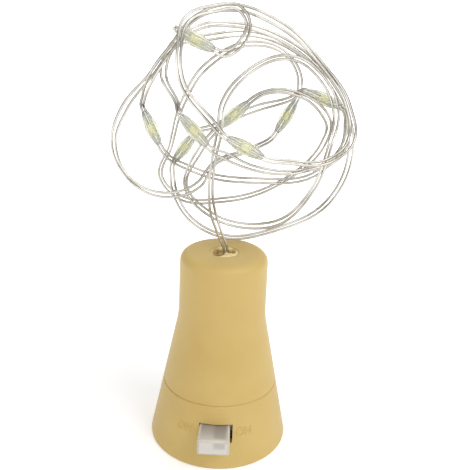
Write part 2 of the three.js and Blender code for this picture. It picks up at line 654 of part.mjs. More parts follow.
// One unbroken tube through the rings, with flat ends.
function tubeThrough(rings, radius) {
  const corners = [];
  const faces = [];
  rings.forEach((ring, i) => {
    for (let k = 0; k < STRAND_SIDES; k += 1) {
      const angle = (2 * Math.PI * k) / STRAND_SIDES;
      const corner = ring.at.clone();
      corner.addScaledVector(ring.across, radius * Math.cos(angle));
      corner.addScaledVector(ring.up, radius * Math.sin(angle));
      corners.push(...corner.toArray());
      if (i > 0) {
        const next = (k + 1) % STRAND_SIDES;
        const [a, b] = [(i - 1) * STRAND_SIDES + k, (i - 1) * STRAND_SIDES + next];
        const [c, d] = [i * STRAND_SIDES + k, i * STRAND_SIDES + next];
        faces.push(a, b, d, a, d, c);
      }
    }
  });
  const last = (rings.length - 1) * STRAND_SIDES;
  for (let k = 1; k + 1 < STRAND_SIDES; k += 1) {
    faces.push(0, k + 1, k, last, last + k, last + k + 1);
  }
  const geometry = new THREE.BufferGeometry();
  geometry.setAttribute('position', new THREE.Float32BufferAttribute(corners, 3));
  geometry.setIndex(faces);
  return geometry;
}

// Least clear gap between two stretches of one strand that lie further apart along it than a close bend.
function leastGap(rings, radius) {
  const perRing = 4;
  const closeBend = 8;
  const points = [];
  for (let i = 0; i + 1 < rings.length; i += 1) {
    for (let k = 0; k < perRing; k += 1) {
      points.push(rings[i].at.clone().lerp(rings[i + 1].at, k / perRing));
    }
  }
  const along = [0];
  for (let i = 1; i < points.length; i += 1) {
    along.push(along[i - 1] + points[i].distanceTo(points[i - 1]));
  }
  let least = Infinity;
  for (let i = 0; i < points.length; i += 1) {
    for (let j = i + 1; j < points.length; j += 1) {
      if (along[j] - along[i] > closeBend) {
        least = Math.min(least, points[i].distanceTo(points[j]));
      }
    }
  }
  return { gap: least - 2 * radius, length: along.at(-1) };
}

const knots = pairKnots();
Object.entries({ conductor_a: 1, conductor_b: -1 }).forEach(([name, side]) => {
  const rings = strandRings(knots, side);
  place(name, tubeThrough(rings, STRAND_RADIUS), SILVER_WIRE);
  const { gap, length } = leastGap(rings, STRAND_RADIUS);
  console.log(`${name}: ${length.toFixed(0)} mm long, least gap to itself ${gap.toFixed(2)} mm`);
});

// Lights: a spindle of clear epoxy cast round the pair, with the diode across the strands in its middle.
function ledBead() {
  const half = BEAD_LENGTH / 2;
  const profile = [
    [0, -half], [BEAD_END_RADIUS, -half], [(BEAD_END_RADIUS + 2 * BEAD_RADIUS) / 3, -half / 2],
    [BEAD_RADIUS, -half / 6], [BEAD_RADIUS, half / 6], [(BEAD_END_RADIUS + 2 * BEAD_RADIUS) / 3, half / 2],
    [BEAD_END_RADIUS, half], [0, half],
  ];
  const body = new THREE.LatheGeometry(profile.map(([r, y]) => new THREE.Vector2(r, y)), BEAD_SIDES);
  const boreSide = BEAD_OFFSET + STRAND_RADIUS + BEAD_FIT;
  const boreRise = STRAND_RADIUS + BEAD_FIT;
  const bore = block([-boreSide, -half - FIT, -boreRise], [boreSide, half + FIT, boreRise]);
  const pocket = block(
    [-DIODE.across / 2 - BEAD_FIT, -DIODE.along / 2 - BEAD_FIT, 0],
    [DIODE.across / 2 + BEAD_FIT, DIODE.along / 2 + BEAD_FIT, boreRise + DIODE.tall + BEAD_FIT],
  );
  return cut(body, bore, pocket);
}

function ledDiode() {
  const bottom = STRAND_RADIUS + BEAD_FIT;
  return block(
    [-DIODE.across / 2, -DIODE.along / 2, bottom],
    [DIODE.across / 2, DIODE.along / 2, bottom + DIODE.tall],
  );
}

knots.filter((knot, i) => knot.bead && knots[i + 1].turn === knot.turn).forEach((knot, i) => {
  const light = new THREE.Group();
  const middle = knot.at.clone().addScaledVector(knot.run, BEAD_LENGTH / 2);
  const across = knot.side;
  light.applyMatrix4(new THREE.Matrix4().makeBasis(across, knot.run, across.clone().cross(knot.run)));
  light.position.copy(middle);
  lamp.add(light);
  place(`led_bead_${i + 1}`, ledBead(), EPOXY, light);
  place(`led_chip_${i + 1}`, ledDiode(), PHOSPHOR, light);
});

export default lamp;
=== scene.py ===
# %% [markdown]
# # A solar bottle lamp
# The lamp is a plastic stopper shaped like a cork. It stands on its solar face with its neck up, and a
# stiff pair of silver strands rises out of the neck in loose loops with small cast lights along them.
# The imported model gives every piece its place, in metres, and this lesson dresses what can be seen.

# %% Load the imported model
import json
import math

import bmesh
import bpy
from mathutils import Matrix, Vector, noise

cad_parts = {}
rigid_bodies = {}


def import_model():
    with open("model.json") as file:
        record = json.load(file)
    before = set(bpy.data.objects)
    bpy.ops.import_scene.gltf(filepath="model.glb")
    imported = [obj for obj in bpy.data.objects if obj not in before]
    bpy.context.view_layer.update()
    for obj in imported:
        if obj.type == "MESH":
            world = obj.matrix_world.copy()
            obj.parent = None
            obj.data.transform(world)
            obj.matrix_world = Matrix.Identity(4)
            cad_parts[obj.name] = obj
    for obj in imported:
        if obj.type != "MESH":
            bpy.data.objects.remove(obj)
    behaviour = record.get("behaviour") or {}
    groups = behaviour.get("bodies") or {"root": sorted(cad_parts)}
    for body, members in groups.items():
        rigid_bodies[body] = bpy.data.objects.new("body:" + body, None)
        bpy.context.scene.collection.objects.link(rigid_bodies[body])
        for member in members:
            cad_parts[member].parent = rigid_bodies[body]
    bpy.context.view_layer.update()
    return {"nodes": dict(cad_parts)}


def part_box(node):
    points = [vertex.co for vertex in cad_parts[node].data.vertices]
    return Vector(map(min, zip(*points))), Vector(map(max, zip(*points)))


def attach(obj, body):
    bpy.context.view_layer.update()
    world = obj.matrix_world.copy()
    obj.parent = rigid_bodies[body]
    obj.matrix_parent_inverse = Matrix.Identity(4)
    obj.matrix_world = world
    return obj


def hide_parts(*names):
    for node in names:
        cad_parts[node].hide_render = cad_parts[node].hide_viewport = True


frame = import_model()
scene = bpy.context.scene
scene.view_settings.view_transform = "Standard"
MM = 0.001

# %% [markdown]
# ## Camera
# The photograph was taken from close by. Near the foot the circles of the stopper look wide open, and
# near the tip they look much flatter, which only a near camera gives. It stands about 17 centimetres
# away, a little above the wire's loops, and looks down by 21 degrees with a lean of two and a half.

# %% Camera
AZIMUTH, ELEVATION, LEAN = (math.radians(a) for a in (0.8, 21.07, 2.5))
CAMERA_PLACE = Vector((4.04, -137.94, 101.43)) * MM
FOCAL_SHARE = 700 / 470

look = Vector((-math.sin(AZIMUTH) * math.cos(ELEVATION),
               math.cos(AZIMUTH) * math.cos(ELEVATION),
               -math.sin(ELEVATION)))
level = Vector((math.cos(AZIMUTH), math.sin(AZIMUTH), 0))
upright = level.cross(look)
across = math.cos(LEAN) * level + math.sin(LEAN) * upright
above = math.cos(LEAN) * upright - math.sin(LEAN) * level

lens = bpy.data.cameras.new("camera")
lens.sensor_width = 36
lens.lens = 36 * FOCAL_SHARE
lens.clip_start = 0.01
camera = bpy.data.objects.new("camera", lens)
turn = Matrix((across, above, -look)).transposed()
camera.matrix_world = Matrix.Translation(CAMERA_PLACE) @ turn.to_4x4()
scene.collection.objects.link(camera)
scene.camera = camera
print("lens", round(lens.lens, 1), "mm at", [round(v, 3) for v in CAMERA_PLACE])

# %% [markdown]
# ## The run of the wire
# Fairy-light wire is a pair of thin strands that stay where they are bent. The pair was followed from
# the outlet to its cut end, and each turn of it has a few stations. A smooth line through them bends at
# each station as the circle through it and its two neighbours does, and it runs straight through
# every light, each of which lies nearly square to the view. The strands lie a little apart on the two
# sides of that line, nearer here and wider there.

# %% Stations of the wire, in millimetres, with heights over the stopper's top
STOPPER_HEIGHT = 44.4
BEAD = True
ROUTE = [
    # up out of the stopper, over the right-hand arc and round the low front loop
    (-1, -0.5, 4), (-2.5, -2, 9), (-3, -5, 14.5), (-2.5, -7.5, 22), (-1.5, -9, 28), (-1, -9, 33),
    (3, -7.5, 38.5), (11, -5, 41.5), (17.5, -3, 37.5), (20.5, -2.5, 32), (19.5, -7, 25.5), (16.5, -6, 15.5),
    (7.5, 0.5, 6), (-3.5, 2.5, 7.5), (-8.5, 0.5, 14), (-6, -1.5, 21.5), (1, -3, 30, BEAD),
    # the small loop in the middle and the tall narrow one behind it
    (6.5, -3.5, 34.5), (13, -3, 34.5), (19, -1, 30), (19.5, 4.5, 23.5), (13.5, 9.5, 14.5), (-0.5, 11, 8),
    (-11.5, 11, 8.5), (-15, 11, 12.5), (-13, 10.5, 19.5), (-10, 7.5, 30), (-4.5, 5, 38.5), (3.5, 6.5, 42.5),
    (11, 7.5, 40.5), (14, 7.5, 35), (11.5, 5, 28.5, BEAD),
    # the wide loop on the left
    (5, -1, 23), (-3, -2.5, 19.5), (-5.5, -2.5, 15.5), (-12.5, -3, 13), (-20, -2, 16), (-23, -1, 22.5),
    (-21, -0.5, 29.5), (-16, 0.5, 36), (-11, 3, 42),
    # the big loop at the back, which comes down close to the stopper's top
    (-4.5, 6, 43.5), (4.5, 10, 44), (15, 12.5, 39.5), (23, 13.5, 31.5), (26.5, 13.5, 22), (23.5, 11.5, 10),
    (11, 7, 3), (-2.5, 4, 2.5), (-9.5, 5.5, 7), (-12, 7, 14), (-9.5, 7, 20.5, BEAD),
    # across the middle to the right and back low down
    (-3.5, 6, 25.5), (5.5, 5, 30), (12, 3, 32.5), (18.5, 1.5, 33, BEAD), (23.5, 0.5, 27.5), (22.5, -1, 23),
    (15, -5, 20), (6, -9, 21), (0, -12, 24), (-6, -12, 28.5, BEAD),
    # two outer loops, each with its light on the left
    (-9.5, -9.5, 33), (-12.5, -5.5, 38), (-11, -3.5, 42.5), (-6, -2, 46), (0.5, 0, 46.5), (9.5, 2.5, 44),
    (20, 5, 35.5), (24.5, 5.5, 26.5), (19.5, 3.5, 18), (5.5, 3.5, 15), (-7, 4, 16.5), (-15.5, 0, 26, BEAD),
    (-16.5, -4, 32.5), (-14, -7.5, 38), (-10.5, -8, 43), (-6.5, -7, 48), (0, -7.5, 50), (7.5, -8, 48),
    (17, -7.5, 40.5), (22.5, -6.5, 33), (23.5, -7.5, 27.5), (19.5, -11, 24), (11.5, -14, 24),
    (3.5, -15, 26.5, BEAD),
    # up the left of the front, over the top, and the small curl that ends in the last light
    (-3, -16, 31.5), (-8, -16, 38), (-8.5, -16, 43.5), (-7.5, -15, 48), (-3, -13, 50), (1.5, -11.5, 50),
    (3, -11, 47.5), (2, -11.5, 44.5), (-1, -12, 42.5), (-6, -11.5, 44.5, BEAD), (-10, -11, 46.5),
]
WIRE_X, WIRE_Y = 0.4, 0.5
WIRE_START = 40.35
MOUTH_DEPTH = 0.9
print("stations:", len(ROUTE), "of them lights:", sum(len(s) == 4 for s in ROUTE))

# %% Knots of the pair
BEAD_LENGTH, BEAD_LEAN = 7.3, 0.7
PAIR_OFFSET, PAIR_SPREAD, PAIR_STEP, PAIR_ROLL = 0.45, 0.12, 1.7, 0.7
BEAD_OFFSET = 0.33
FACING_TILT = math.radians(12)
FACING = Vector((0, -math.cos(FACING_TILT), math.sin(FACING_TILT)))


def run_at(before, here, after):
    """The way the circle through three points runs at the middle one."""
    run = Vector()
    for step in (here - before, after - here):
        if step.length_squared > 0:
            run += step / step.length_squared
    return run.normalized()


def pair_knots():
    """The pair's points with the way it runs there, its side and how far each strand lies from it."""
    points = [Vector((WIRE_X, WIRE_Y, z)) for z in (WIRE_START, STOPPER_HEIGHT - MOUTH_DEPTH)]
    outlet = len(points)
    points += [Vector((s[0], s[1], s[2] + STOPPER_HEIGHT)) for s in ROUTE]
    knots = []
    for i, point in enumerate(points):
        station = i - outlet
        light = station >= 0 and len(ROUTE[station]) == 4
        straight = light or station < 0
        offset = BEAD_OFFSET if straight else PAIR_OFFSET + PAIR_SPREAD * math.sin(PAIR_STEP * station)
        knot = {"at": point, "run": None, "light": light, "straight": straight,
                "station": station, "offset": offset}
        if station < 0:
            knot["run"] = Vector((0, 0, 1))
        if light:
            run = run_at(points[i - 1], point, points[i + 1])
            run = (run - BEAD_LEAN * run.dot(FACING) * FACING).normalized()
            knots += [dict(knot, run=run, at=point + sign * BEAD_LENGTH / 2 * run) for sign in (-1, 1)]
        else:
            knots.append(knot)
    knots[-1]["offset"] = BEAD_OFFSET
    for i, knot in enumerate(knots):
        if knot["run"] is None:
            ahead = knots[min(i + 1, len(knots) - 1)]["at"]
            knot["run"] = run_at(knots[i - 1]["at"], knot["at"], ahead)
        roll = 0 if knot["straight"] else PAIR_ROLL * math.sin(knot["station"])
        side = knot["run"].cross(FACING).normalized()
        knot["side"] = Matrix.Rotation(roll, 3, knot["run"]) @ side
    return knots


wire_knots = pair_knots()
print("knots:", len(wire_knots))

# %% [markdown]
# ## Strands
# A strand is a Bezier curve with a round bevel, which Blender turns into an even tube without any
# modelling. Each knot's handles lie along the run, at a little over a third of the way to its
# neighbour, which keeps the bends round.

# %% Strands
STRAND_RADIUS = 0.27
HANDLE = 0.36
TUBE_SIDES, TUBE_STEPS = 2, 8


def make_strand(name, sign):
    """One strand on one side of the pair, and its length in metres."""
    line = bpy.data.curves.new(name, "CURVE")
    line.dimensions = "3D"
    spline = line.splines.new("BEZIER")
    spline.bezier_points.add(len(wire_knots) - 1)
    spots = [knot["at"] + sign * knot["offset"] * knot["side"] for knot in wire_knots]
    gaps = [(b - a).length for a, b in zip(spots, spots[1:])]
    for i, (point, knot) in enumerate(zip(spline.bezier_points, wire_knots)):
        point.handle_left_type = point.handle_right_type = "FREE"
        back, on = gaps[max(i - 1, 0)], gaps[min(i, len(gaps) - 1)]
        point.co = spots[i] * MM
        point.handle_left = (spots[i] - HANDLE * back * knot["run"]) * MM
        point.handle_right = (spots[i] + HANDLE * on * knot["run"]) * MM
    line.bevel_depth = STRAND_RADIUS * MM
    line.bevel_resolution = TUBE_SIDES
    line.resolution_u = TUBE_STEPS
    line.use_fill_caps = True
    strand = bpy.data.objects.new(name, line)
    scene.collection.objects.link(strand)
    return strand, spline.calc_length()


strand_a, length_a = make_strand("strand_a", 1)
strand_b, length_b = make_strand("strand_b", -1)
print("strand lengths in metres:", round(length_a, 3), round(length_b, 3))

# %% [markdown]
# ## Finishes
# Moulded plastic, metal and resin are never one flat colour. Every finish here is a Principled shader
# whose colour drifts between a few near tones, and whose roughness and relief follow a finer grain.
# The textures read Object coordinates, so a pattern keeps its real size on every piece.

# %% A finish with a drift of tone and a fine grain
TONE_START, TONE_SPAN = 0.3, 0.4
DRIFT_DETAIL, GRAIN_DETAIL = 4, 3
NONE, HALF, FULL = (0, 0, 0, 1), (0.55, 0.55, 0.55, 1), (1, 1, 1, 1)


def tone_of(red, green, blue):
    """A colour as a screen shows it, from 0 to 255, as the linear value that a shader needs."""
    return tuple(((v / 255 + 0.055) / 1.055) ** 2.4 for v in (red, green, blue)) + (1,)


def grain_of(nodes, links, scale, detail=GRAIN_DETAIL, stretch=(1, 1, 1)):
    """A noise on the piece's own coordinates, as a socket."""
    place = nodes.new("ShaderNodeTexCoord")
    shape = nodes.new("ShaderNodeMapping")
    shape.inputs["Scale"].default_value = stretch
    grain = nodes.new("ShaderNodeTexNoise")
    grain.inputs["Scale"].default_value = scale
    grain.inputs["Detail"].default_value = detail
    links.new(place.outputs["Object"], shape.inputs["Vector"])
    links.new(shape.outputs["Vector"], grain.inputs["Vector"])
    return grain.outputs["Fac"]


def ramp_of(nodes, links, factor, stops):
    """Colours along a factor's socket, from stops of place and tone. A new ramp already has two stops."""
    ramp = nodes.new("ShaderNodeValToRGB")
    links.new(factor, ramp.inputs["Fac"])
    marks = ramp.color_ramp.elements
    for i, (spot, tone) in enumerate(stops):
        stop = marks[i] if i < 2 else marks.new(spot)
        stop.position = spot
        stop.color = tone
    return ramp.outputs["Color"]


def make_finish(name, tones, drift, grain, rough, relief, stretch=(1, 1, 1), **sockets):
    """A finish from near tones, two noise scales, a range of roughness and a relief in millimetres."""
    finish = bpy.data.materials.new(name)
    finish.use_nodes = True
    nodes, links = finish.node_tree.nodes, finish.node_tree.links
    shader = nodes["Principled BSDF"]
    spots = [TONE_START + TONE_SPAN * i / (len(tones) - 1) for i in range(len(tones))]
    slow = grain_of(nodes, links, drift, DRIFT_DETAIL, stretch)
    colour = ramp_of(nodes, links, slow, list(zip(spots, tones)))
    links.new(colour, shader.inputs["Base Color"])
    fine = grain_of(nodes, links, grain, GRAIN_DETAIL, stretch)
    spread = nodes.new("ShaderNodeMapRange")
    spread.inputs["To Min"].default_value, spread.inputs["To Max"].default_value = rough
    links.new(fine, spread.inputs["Value"])
    links.new(spread.outputs["Result"], shader.inputs["Roughness"])
    bump = nodes.new("ShaderNodeBump")
    bump.inputs["Distance"].default_value = relief * MM
    links.new(fine, bump.inputs["Height"])
    links.new(bump.outputs["Normal"], shader.inputs["Normal"])
    for socket, value in sockets.items():
        shader.inputs[socket.replace("_", " ")].default_value = value
    return finish


# The silver's drift of tone is partly the wire's own uneven tone and partly painted reflection, lighter and
# darker patches along the strands.
silver = make_finish("silver_wire", [tone_of(163, 157, 144), tone_of(202, 198, 189), tone_of(221, 218, 211)],
                     drift=170, grain=3000, rough=(0.12, 0.28), relief=0.01, Metallic=0.8,
                     Specular_Tint=tone_of(88, 84, 76))
for strand in (strand_a, strand_b):
    strand.data.materials.append(silver)
print("finish:", silver.name)

# %% [markdown]
# ## Lights
# Each light is a drop of clear epoxy, cast round both strands over a yellow diode that bridges them.
# A drop is round about the wire, so half of its outline is spun. The spin leaves the shape along Z, and
# a matrix of the pair's own directions then lays it along the wire, a little flatter than it is wide.
# Near the middle the epoxy takes on a painted yellow glow of the diode, so each point keeps how near it is to
# the middle as an attribute.

# %% Outline of a drop, and helpers for spun pieces
DROP_OUTLINE = [(0, -3.65), (0.5, -3.65), (0.64, -3.45), (0.78, -3), (0.99, -2.2), (1.17, -1.3),
                (1.26, -0.5), (1.28, 0), (1.26, 0.5), (1.19, 1.2), (1.02, 2.1), (0.8, 2.95),
                (0.64, 3.45), (0.5, 3.65), (0, 3.65)]
DROP_FLATNESS, DROP_SIDES = 0.92, 24
GLOW_REACH, GLOW_SHARE = 3, 0.65
MERGE = 1e-6


def spin_outline(outline, steps):
    """A closed round shape from an outline of radius and height, in millimetres."""
    mesh = bmesh.new()
    corners = [mesh.verts.new((r * MM, 0, z * MM)) for r, z in outline]
    edges = [mesh.edges.new(pair) for pair in zip(corners, corners[1:])]
    bmesh.ops.spin(mesh, geom=corners + edges, cent=(0, 0, 0), axis=(0, 0, 1),
                   angle=2 * math.pi, steps=steps, use_merge=True)
    bmesh.ops.remove_doubles(mesh, verts=mesh.verts, dist=MERGE)
    bmesh.ops.recalc_face_normals(mesh, faces=mesh.faces)
    return mesh


def keep_piece(name, mesh, finishes, body, slot, *nodes, sharp=35):
    """Turns a bmesh into a piece that rides on a body and stands for its CAD nodes."""
    data = bpy.data.meshes.new(name)
    mesh.to_mesh(data)
    mesh.free()
    data.polygons.foreach_set("use_smooth", [True] * len(data.polygons))
    data.set_sharp_from_angle(angle=math.radians(sharp))
    for finish in finishes:
        data.materials.append(finish)
    piece = bpy.data.objects.new(name, data)
    scene.collection.objects.link(piece)
    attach(piece, body)
    if nodes:
        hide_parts(*nodes)
    return piece


def tint(finish, factor, tone):
    """Mixes one more tone into a finish's colour, as far as a factor's socket says."""
    nodes, links = finish.node_tree.nodes, finish.node_tree.links
    colour = nodes["Principled BSDF"].inputs["Base Color"]
    mix = nodes.new("ShaderNodeMix")
    mix.data_type = "RGBA"
    share, before, after, mixed = mix.inputs[0], mix.inputs[6], mix.inputs[7], mix.outputs[2]
    links.new(factor, share)
    links.new(colour.links[0].from_socket, before)
    after.default_value = tone
    links.new(mixed, colour)


print("drop outline:", len(DROP_OUTLINE), "points")

# %% Finish of the drops and the diodes
epoxy = make_finish("clear_epoxy", [tone_of(198, 207, 196), tone_of(248, 250, 244), tone_of(210, 220, 220)],
                    drift=760, grain=1500, rough=(0.08, 0.26), relief=0.07,
                    Transmission_Weight=0.74, IOR=1.42)
# Near the diode the epoxy gets a painted yellow glow.
glow = epoxy.node_tree.nodes.new("ShaderNodeAttribute")
glow.attribute_name = "glow"
tint(epoxy, glow.outputs["Fac"], tone_of(246, 244, 200))
phosphor = make_finish("yellow_phosphor", [tone_of(249, 246, 206), tone_of(253, 252, 228)],
                       drift=1800, grain=5000, rough=(0.4, 0.6), relief=0.02)
print("finishes:", epoxy.name, phosphor.name)

# %% Drops along the wire
first_ends = [a for a, b in zip(wire_knots, wire_knots[1:]) if a["light"] and a["station"] == b["station"]]
drops = []
for i, knot in enumerate(first_ends):
    mesh = spin_outline(DROP_OUTLINE, DROP_SIDES)
    nearness = mesh.verts.layers.float.new("glow")
    for corner in mesh.verts:
        corner[nearness] = GLOW_SHARE * max(0, 1 - abs(corner.co.z) / MM / GLOW_REACH)
    middle = knot["at"] + BEAD_LENGTH / 2 * knot["run"]
    rise = knot["side"].cross(knot["run"])
    lay = Matrix((knot["side"], rise * DROP_FLATNESS, knot["run"])).transposed().to_4x4()
    bmesh.ops.transform(mesh, matrix=Matrix.Translation(middle * MM) @ lay, verts=mesh.verts)
    bmesh.ops.recalc_face_normals(mesh, faces=mesh.faces)
    name = f"led_bead_{i + 1}"
    drops.append(keep_piece(f"light_drop_{i + 1}", mesh, [epoxy], "housing", "epoxy", name, sharp=50))
diodes = [frame["nodes"][f"led_chip_{i + 1}"] for i in range(len(drops))]
print("drops:", len(drops), "faces each:", len(drops[0].data.polygons))

# %% Strands on the housing, in place of their imported nodes
for strand, node, riders in ((strand_a, "conductor_a", drops + diodes), (strand_b, "conductor_b", [])):
    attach(strand, "housing")
    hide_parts(node)

# %% [markdown]
# ## Stopper body
# The upper shell is one moulding: a cone that eases into a straight neck and ends in a rounded tip with
# a shallow round outlet. Its whole section, outside and inside, is drawn once and spun, which gives a wall
# of real thickness and round highlights that a faceted solid can't.

# %% Stopper body
BASE_RADIUS, NECK_RADIUS, TIP_RADIUS = 15.5, 9.5, 9.4
SEAM, NECK_START, NECK_BLEND, TIP_ROUND = 13.9, 29.9, 2.2, 2
CHAMFER, WALL, CEILING = 0.25, 1.6, 42
SPIGOT_FOOT, SPIGOT_RADIUS, SPIGOT_BORE, BORE_TOP = 12.3, 11.71, 10.71, 15.9
RECESS_RADIUS, RECESS_FLOOR, RECESS_ROUND, OUTLET_RADIUS = 3, 43.4, 0.3, 2.2
BODY_SIDES, CURVE_STEPS = 128, 14


def cone_radius(z):
    """The outer radius of the cone at a height."""
    return BASE_RADIUS - (BASE_RADIUS - NECK_RADIUS) / NECK_START * z


def neck_radius(z):
    """The outer radius of the neck at a height."""
    return NECK_RADIUS - (NECK_RADIUS - TIP_RADIUS) / (STOPPER_HEIGHT - NECK_START) * (z - NECK_START)


def bent(start, corner, end, steps):
    """Points of the curve that leaves start towards corner and arrives at end from it."""
    shares = [i / steps for i in range(steps + 1)]
    return [tuple((1 - t) ** 2 * a + 2 * t * (1 - t) * b + t * t * c for a, b, c in zip(start, corner, end))
            for t in shares]


def rounded(middle, radius, first, last, steps):
    """Points of an arc of the section, by its angles in degrees."""
    angles = [math.radians(first + (last - first) * i / steps) for i in range(steps + 1)]
    return [(middle[0] + radius * math.cos(a), middle[1] + radius * math.sin(a)) for a in angles]


blend_low, blend_high = NECK_START - NECK_BLEND, NECK_START + NECK_BLEND
round_start = STOPPER_HEIGHT - TIP_ROUND
body_outline = [(cone_radius(SEAM) - CHAMFER, SEAM), (cone_radius(SEAM + CHAMFER), SEAM + CHAMFER)]
body_outline += bent((cone_radius(blend_low), blend_low), (NECK_RADIUS, NECK_START),
                     (neck_radius(blend_high), blend_high), CURVE_STEPS)
body_outline += rounded((neck_radius(round_start) - TIP_ROUND, round_start), TIP_ROUND, 0, 90, CURVE_STEPS)
body_outline += rounded((RECESS_RADIUS + RECESS_ROUND, STOPPER_HEIGHT - RECESS_ROUND), RECESS_ROUND,
                        90, 180, 4)
body_outline += [(RECESS_RADIUS, RECESS_FLOOR), (OUTLET_RADIUS, RECESS_FLOOR), (OUTLET_RADIUS, CEILING),
                 (neck_radius(CEILING) - WALL, CEILING), (NECK_RADIUS - WALL, NECK_START),
                 (SPIGOT_BORE, BORE_TOP), (SPIGOT_BORE, SPIGOT_FOOT), (SPIGOT_RADIUS, SPIGOT_FOOT),
                 (SPIGOT_RADIUS, SEAM), body_outline[0]]
body_mesh = spin_outline(body_outline, BODY_SIDES)
ochre = make_finish("ochre_plastic",
                    [tone_of(204, 173, 100), tone_of(210, 180, 107), tone_of(214, 185, 112)],
                    drift=55, grain=2600, rough=(0.36, 0.52), relief=0.03, Specular_IOR_Level=0.5)
body = keep_piece("stopper_body", body_mesh, [ochre], "housing", "cork_plastic", "stopper_shell")
print("stopper body:", len(body.data.polygons), "faces")

# %% [markdown]
# ## Base ring
# The base ring closes the stopper below a fine seam and carries the switch's slot. The ring is spun like the
# body. For the slot, four planes cut the front of the wall exactly along the slot's edges, the faces
# inside are deleted from the outer and the inner wall, and a bridge joins the two openings.

# %% Base ring
FOOT_ROUND, WINDOW_SEAT, SHELF_RADIUS = 0.4, 12.35, 11.4
SHELF_FOOT, SHELF_TOP, LEDGE_FOOT, LEDGE_TOP, LEDGE_RADIUS = 1.35, 2.35, 3.3, 4.3, 10.4
REBATE_RADIUS, REBATE_FLOOR = 11.86, 12.15
SLOT_WIDTH, SLOT_TALL, SLOT_HEIGHT = 7.2, 4.2, 7.9
FRONT_WALL, CUT_GAP = -10, 1e-7


def inner(z):
    """The point of the inner wall at a height."""
    return (cone_radius(z) - WALL, z)


ring_outline = [(WINDOW_SEAT, 0)]
foot_start, foot_end = (BASE_RADIUS - FOOT_ROUND, 0), (cone_radius(FOOT_ROUND), FOOT_ROUND)
ring_outline += bent(foot_start, (BASE_RADIUS, 0), foot_end, 6)
ring_outline += [(cone_radius(SEAM - CHAMFER), SEAM - CHAMFER), (cone_radius(SEAM) - CHAMFER, SEAM),
                 (REBATE_RADIUS, SEAM), (REBATE_RADIUS, REBATE_FLOOR), inner(REBATE_FLOOR), inner(LEDGE_TOP),
                 (LEDGE_RADIUS, LEDGE_TOP), (LEDGE_RADIUS, LEDGE_FOOT), inner(LEDGE_FOOT), inner(SHELF_TOP),
                 (SHELF_RADIUS, SHELF_TOP), (SHELF_RADIUS, SHELF_FOOT), (WINDOW_SEAT, SHELF_FOOT),
                 ring_outline[0]]


def cut_slot(mesh):
    """Cuts the slot through the front wall and gives the count of its rim's edges."""
    low, high = SLOT_HEIGHT - SLOT_TALL / 2, SLOT_HEIGHT + SLOT_TALL / 2
    half = SLOT_WIDTH / 2
    planes = [((half, 0, 0), (1, 0, 0)), ((-half, 0, 0), (1, 0, 0)),
              ((0, 0, low), (0, 0, 1)), ((0, 0, high), (0, 0, 1))]
    for spot, way in planes:
        front = [f for f in mesh.faces if f.calc_center_median().y < FRONT_WALL * MM]
        around = {e for f in front for e in f.edges} | {v for f in front for v in f.verts}
        bmesh.ops.bisect_plane(mesh, geom=front + list(around), dist=CUT_GAP,
                               plane_co=Vector(spot) * MM, plane_no=way)
    inside = []
    for face in mesh.faces:
        x, y, z = face.calc_center_median() / MM
        if y < FRONT_WALL and abs(x) < half and low < z < high:
            inside.append(face)
    bmesh.ops.delete(mesh, geom=inside, context="FACES")
    rims = [e for e in mesh.edges if e.is_boundary]
    bmesh.ops.bridge_loops(mesh, edges=rims)
    bmesh.ops.recalc_face_normals(mesh, faces=mesh.faces)
    return len(rims)


ring_mesh = spin_outline(ring_outline, BODY_SIDES)
rim_edges = cut_slot(ring_mesh)
ring = keep_piece("base_ring", ring_mesh, [ochre], "housing", "cork_plastic", "base_shell")
print("base ring:", len(ring.data.polygons), "faces, slot rim edges:", rim_edges)

# %% [markdown]
# ## Raised letters
# Faint raised words stand beside the switch: off on the left, on on the right. A text object gives the
# shapes, it becomes a mesh, and each point is then wrapped on the cone, so that the letters follow the wall.

# %% Raised letters
LETTER_RISE, LETTER_TALL, LETTER_STEPS = 0.12, 1.9, 6
FINE_MERGE = 1e-4


def raised_word(name, word, first, last, height):
    """A word wrapped on the base ring between two angles in degrees, at a height of its middle."""
    text = bpy.data.curves.new(name, "FONT")
    text.body = word
    text.size = LETTER_TALL
    text.extrude = LETTER_RISE
    text.resolution_u = LETTER_STEPS
    flat = bpy.data.objects.new(name + "_flat", text)
    scene.collection.objects.link(flat)
    shape = bpy.data.meshes.new_from_object(flat.evaluated_get(bpy.context.evaluated_depsgraph_get()))
    bpy.data.objects.remove(flat)
    mesh = bmesh.new()
    mesh.from_mesh(shape)
    bpy.data.meshes.remove(shape)
    bmesh.ops.remove_doubles(mesh, verts=mesh.verts, dist=FINE_MERGE)
    left, right = (pick(v.co.x for v in mesh.verts) for pick in (min, max))
    low, high = (pick(v.co.y for v in mesh.verts) for pick in (min, max))
    for corner in mesh.verts:
        x, y, out = corner.co
        angle = math.radians(first + (last - first) * (x - left) / (right - left))
        z = height + LETTER_TALL * ((y - low) / (high - low) - 0.5)
        radius = cone_radius(z) + out
        corner.co = Vector((radius * math.sin(angle), -radius * math.cos(angle), z)) * MM
    bmesh.ops.recalc_face_normals(mesh, faces=mesh.faces)
    return keep_piece(name, mesh, [ochre], "housing", "cork_plastic", sharp=30)


words = [raised_word("off_word", "OFF", -36.9, -20.2, 8.3), raised_word("on_word", "ON", 18.8, 33, 8.15)]
print("words:", [(w.name, len(w.data.polygons)) for w in words])

# %% [markdown]
# ## Switch knob
# The knob is a small cap of milky plastic, pushed on the switch's dark lever, whose painted shadow shows on
# its right. A cube is scaled to the cap's size and flared a little at its face, its back is inset and pushed
# in for the lever's socket, and its outer edges are bevelled and given a darker tone as painted shade. The
# cap's colour also has painted light and shade: a paler lit face, and a painted shade that dims from the face
# to the slot.

